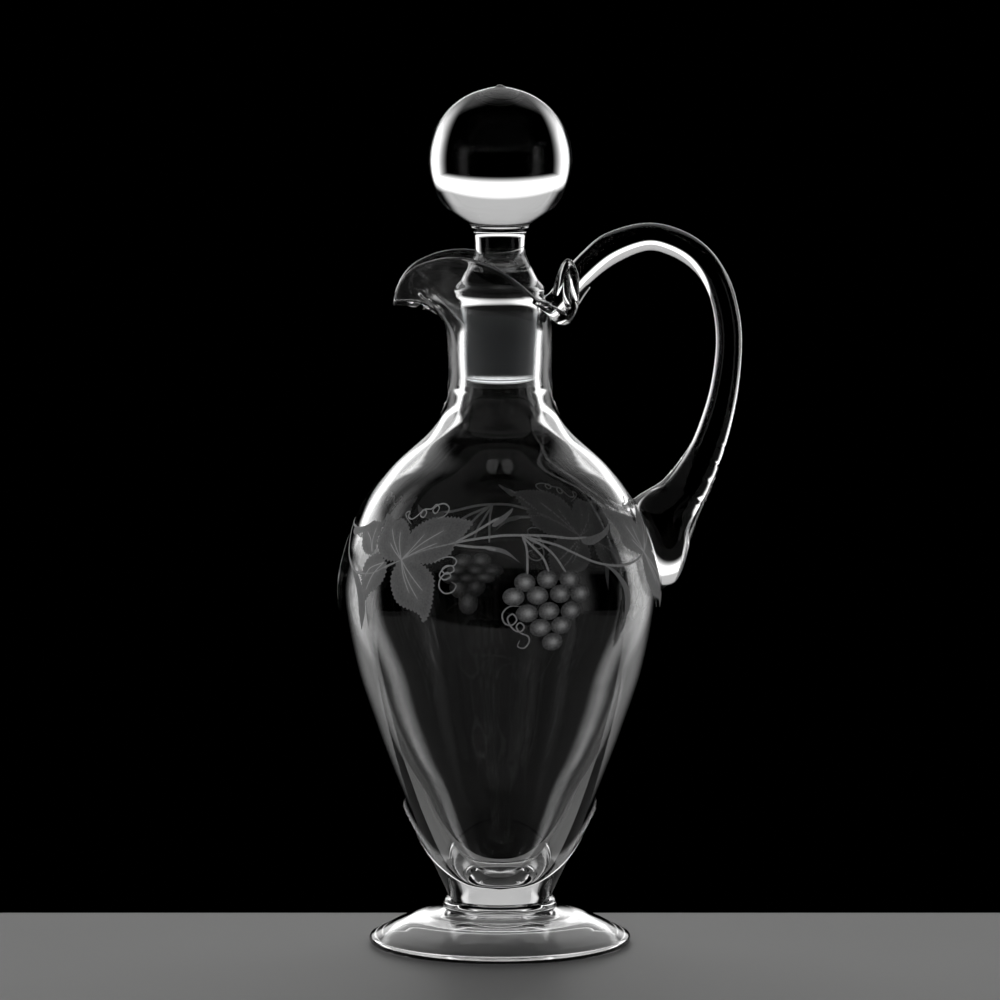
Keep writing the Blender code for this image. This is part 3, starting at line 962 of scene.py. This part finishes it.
def add_leaf(bm, runs, veins, tooth):
    """A leaf or blade, thin at its edge, with painted shading that is lightest along its veins and next
    lightest at its edge.
    """
    outline = edge_line(clockwise(runs), tooth)
    low = Vector((min(p.x for p in outline), min(p.y for p in outline)))
    high = Vector((max(p.x for p in outline), max(p.y for p in outline)))
    points = list(outline)
    for row in range(int((high.y - low.y) / GRID) + 1):
        for column in range(int((high.x - low.x) / GRID) + 2):
            points.append(low + Vector(((column - row % 2 / 2) * GRID, row * GRID)))
    border = list(range(len(outline)))
    points, edges, triangles = delaunay_2d_cdt(points, [], [border], 1, 0.001)[:3]
    used = sorted({i for triangle in triangles for i in triangle})
    place = {i: count for count, i in enumerate(used)}
    corners = []
    for i in used:
        inside = min(1.0, to_outline(points[i], outline) / LEAF_RIM)
        rib = min([to_outline(points[i], vein) for vein in veins] or [NO_VEIN])
        # Painted shading: lighter near the leaf's edge and along its veins.
        cut = LEAF_PAINTED_SHADE - LEAF_FALL * inside + VEIN_PAINTED_LIGHT * math.exp(-rib / VEIN_REACH)
        corners.append((points[i].x, points[i].y, CUT_EDGE + (CUT_TOP - CUT_EDGE) * inside, cut))
    add_slab(bm, corners, [[place[i] for i in triangle] for triangle in triangles])


# cut is the value of painted shading that the whole line is given.
def add_line(bm, path, width, cut, ends=LINE_ENDS):
    """A narrow ridge along a path, thinner towards its ends."""
    line = smooth(path, 5)
    corners = []
    last = len(line) - 1
    for i, point in enumerate(line):
        ahead = (line[min(i + 1, last)] - line[max(i - 1, 0)]).normalized()
        side = Vector((-ahead.y, ahead.x))
        share = i / last
        thin = min(1.0, ends[0] + share * LINE_TAPER, ends[1] + (1 - share) * LINE_TAPER)
        half = width / 2 * thin
        for across, lift in ((-1.0, CUT_EDGE), (-LINE_TOP, RIDGE), (LINE_TOP, RIDGE), (1.0, CUT_EDGE)):
            place = point - side * half * across
            corners.append((place.x, place.y, lift, cut))
    triangles = []
    for i in range(last):
        for j in range(3):
            a, b = 4 * i + j, 4 * i + j + 1
            triangles += [[a, b, a + 4], [b, b + 4, a + 4]]
    add_slab(bm, corners, triangles)


def add_grape(bm, angle, z):
    wide, tall = GRAPE_RADII
    sides, rings = 30, 7
    # A painted highlight on each grape: the painted shading is 1 at its top and falls to 0, painted shade,
    # at its rim.
    corners = [(angle, z, RIDGE, 1.0)]
    for ring in range(1, rings + 1):
        share = ring / rings
        lift = CUT_EDGE + (RIDGE - CUT_EDGE) * math.sqrt(1 - share**2)
        centre = GRAPE_LEAN * (1 - share)
        for side in range(sides):
            turn = 2 * math.pi * side / sides
            x = angle + centre + wide * share * math.cos(turn)
            corners.append((x, z + tall * share * math.sin(turn), lift, (1 - share) ** 2))
    triangles = []
    for side in range(sides):
        after = (side + 1) % sides
        triangles.append([0, 1 + side, 1 + after])
        for ring in range(rings - 1):
            a, b = 1 + ring * sides + side, 1 + ring * sides + after
            triangles += [[a, a + sides, b], [b, a + sides, b + sides]]
    add_slab(bm, corners, triangles)


def engraving():
    bm = bmesh.new()
    # The layer of painted shading and highlights on the relief, which the engraving materials read.
    bm.verts.layers.float.new("painted_shading")
    return bm


def build_engraving(leaf_cut, grape_cut, line_cut):
    """The frieze: every length has a leaf, stems and a bunch, and they differ a little, as cut by hand."""
    leaves, grapes, vines = engraving(), engraving(), engraving()
    for number, unit in enumerate(UNITS):
        shift = unit[0] - LEAF_JUNCTION
        lobes, veins = LEAF_LOBES, LEAF_VEINS
        if number % 2 == 0:
            lobes, veins = LEAF_LOBES + SIDE_LEAVES, LEAF_VEINS + SIDE_VEINS
        elif number == 1:
            lobes = LEAF_LOBES[:-1] + [BROAD_LOBE]
        ribs = [[Vector(point) for point in moved(vein, shift)] for vein in veins]
        for lobe in lobes:
            add_leaf(leaves, [moved(run, shift) for run in lobe], ribs, TOOTH)
        for vein in veins:
            add_line(vines, moved(vein, shift), *VEIN, VEIN_ENDS)
        for tendril in LEAF_TENDRILS:
            add_line(vines, moved(tendril, shift), *LEAF_TENDRIL)
        for stem in STEMS:
            add_line(vines, squeezed(stem, unit), *STEM, STEM_ENDS)
        for blade in BLADES:
            add_leaf(leaves, [squeezed(run, unit) for run in blade], [], 0.0)

        turn = unit[1] - BUNCH_ANGLE
        bunch = SMALL_BUNCH if number == 2 else GRAPES
        for angle, z in bunch:
            add_grape(grapes, angle + turn, z)
        if bunch is GRAPES:
            add_line(vines, moved(BUNCH_TENDRIL, turn), *BUNCH_CURL)

        if unit is UNITS[-1]:
            add_line(vines, moved(LEFT_STEM, 360.0), *STEM)
            add_leaf(leaves, [moved(run, 360.0) for run in LEFT_BLADE], [], 0.0)
        else:
            add_line(vines, squeezed(LOW_STEM, unit), *STEM)
            add_leaf(leaves, [squeezed(run, unit) for run in DROOPING_BLADE], [], 0.0)

    for name, bm, material in (
        ("engraved_leaves", leaves, leaf_cut),
        ("engraved_grapes", grapes, grape_cut),
        ("engraved_vines", vines, line_cut),
    ):
        loose = [vert for vert in bm.verts if not vert.link_faces]
        bmesh.ops.delete(bm, geom=loose, context="VERTS")
        bmesh.ops.recalc_face_normals(bm, faces=bm.faces)
        finish_piece(name, bm, [material], "jug")


# --- the set ---


def within_limits(tree, light, azimuth, height):
    """The light faded out at the sides, at the bottom and, through a dimmer sky, at the top."""
    below_top = soft_step(tree, height, *LIGHT_TOP)
    sky = math_node(tree, "MULTIPLY", soft_step(tree, height, *SKY_TOP), SKY_SHARE)
    sky = math_node(tree, "MULTIPLY", sky, soft_step(tree, azimuth, *SKY_SIDE))
    light = math_node(tree, "MULTIPLY", light, math_node(tree, "MAXIMUM", below_top, sky))
    light = math_node(tree, "MULTIPLY", light, soft_step(tree, azimuth, *LIGHT_SIDE))
    return math_node(tree, "MULTIPLY", light, soft_step(tree, height, *LIGHT_BOTTOM))


def studio():
    """A broad light behind, which a dark card hides but for its sides and top, and a weak one before."""
    world = bpy.data.worlds.new("studio")
    bpy.context.scene.world = world
    world.use_nodes = True
    tree = world.node_tree
    place = tree.nodes.new("ShaderNodeTexCoord")
    split = tree.nodes.new("ShaderNodeSeparateXYZ")
    tree.links.new(place.outputs["Generated"], split.inputs["Vector"])
    x, y, z = split.outputs
    azimuth = math_node(tree, "ARCTAN2", math_node(tree, "ABSOLUTE", x), y)
    from_front = math_node(tree, "SUBTRACT", math.pi, azimuth)
    height = math_node(tree, "ARCSINE", z)
    past_card = soft_step(tree, azimuth, *CARD_SIDE)
    over_card = soft_step(tree, height, *CARD_TOP)
    behind = within_limits(tree, math_node(tree, "MAXIMUM", past_card, over_card), azimuth, height)
    beside = within_limits(tree, soft_step(tree, from_front, *FRONT_CARD_SIDE), from_front, height)
    light = math_node(tree, "MULTIPLY_ADD", beside, FRONT_SHARE, behind)
    background = tree.nodes["Background"]
    background.inputs["Color"].default_value = (1.0, 1.0, 1.0, 1.0)
    tree.links.new(math_node(tree, "MULTIPLY", light, LIGHT_LEVEL), background.inputs["Strength"])


def build_front_light():
    """A soft light from the front for the matt engraving; the clear glass doesn't mirror it."""
    data = bpy.data.lights.new("front", "AREA")
    data.shape = "SQUARE"
    data.size = FRONT_SIZE
    data.energy = FRONT_POWER
    light = bpy.data.objects.new("front", data)
    light.location = FRONT_LIGHT
    aim = Vector((AXIS_X * MM, 0.0, FRONT_AIM))
    light.rotation_euler = (aim - light.location).to_track_quat("-Z", "Y").to_euler()
    light.visible_camera = False
    light.visible_glossy = False
    light.visible_transmission = False
    bpy.context.scene.collection.objects.link(light)


def build_floor():
    x0, x1, y0, y1 = FLOOR_EDGES
    bm = bmesh.new()
    corners = [bm.verts.new((x, y, -FLOOR_DROP)) for x, y in ((x0, y0), (x1, y0), (x1, y1), (x0, y1))]
    top = bm.faces.new(corners)
    made = bmesh.ops.extrude_face_region(bm, geom=[top])["geom"]
    lowered = [item for item in made if isinstance(item, bmesh.types.BMVert)]
    bmesh.ops.translate(bm, vec=(0.0, 0.0, -FLOOR_THICKNESS), verts=lowered)
    bmesh.ops.recalc_face_normals(bm, faces=bm.faces)
    bmesh.ops.bevel(bm, geom=bm.edges[:], offset=FLOOR_BEVEL, segments=4, affect="EDGES")
    floor = finish_piece("floor", bm, [floor_material()], None)


def build_camera():
    data = bpy.data.cameras.new("camera")
    data.sensor_width = 36.0
    data.lens = CAMERA_LENS
    data.clip_start = 0.1
    data.clip_end = 50.0
    camera = bpy.data.objects.new("camera", data)
    camera.location = (AXIS_X * MM, -CAMERA_DISTANCE, CAMERA_HEIGHT)
    aim = Vector((AXIS_X * MM, 0.0, CAMERA_AIM))
    camera.rotation_euler = (aim - camera.location).to_track_quat("-Z", "Y").to_euler()
    bpy.context.scene.collection.objects.link(camera)
    bpy.context.scene.camera = camera


def main():
    clear = clear_glass("blown_glass", wave_scale=22.0, wave_height=0.0001)
    ground = frosted_glass("ground_glass_fine", roughness=0.17, spread=0.04, grain=(1500.0, 0.00002))
    joint = fused_joint()
    build_jug(clear, ground, joint)
    build_stopper(clear, ground, joint)
    # The engraving materials turn the painted shading into colour, from dim to bright.
    build_engraving(
        wheel_cut_glass("leaf_cut", dim=0.05, bright=0.5),
        wheel_cut_glass("grape_cut", dim=0.1, bright=0.9),
        wheel_cut_glass("vine_cut", dim=0.03, bright=0.9),
    )
    build_floor()
    studio()
    build_front_light()
    build_camera()
    bpy.context.scene.view_settings.view_transform = "Standard"


main()

bpy.context.view_layer.update()
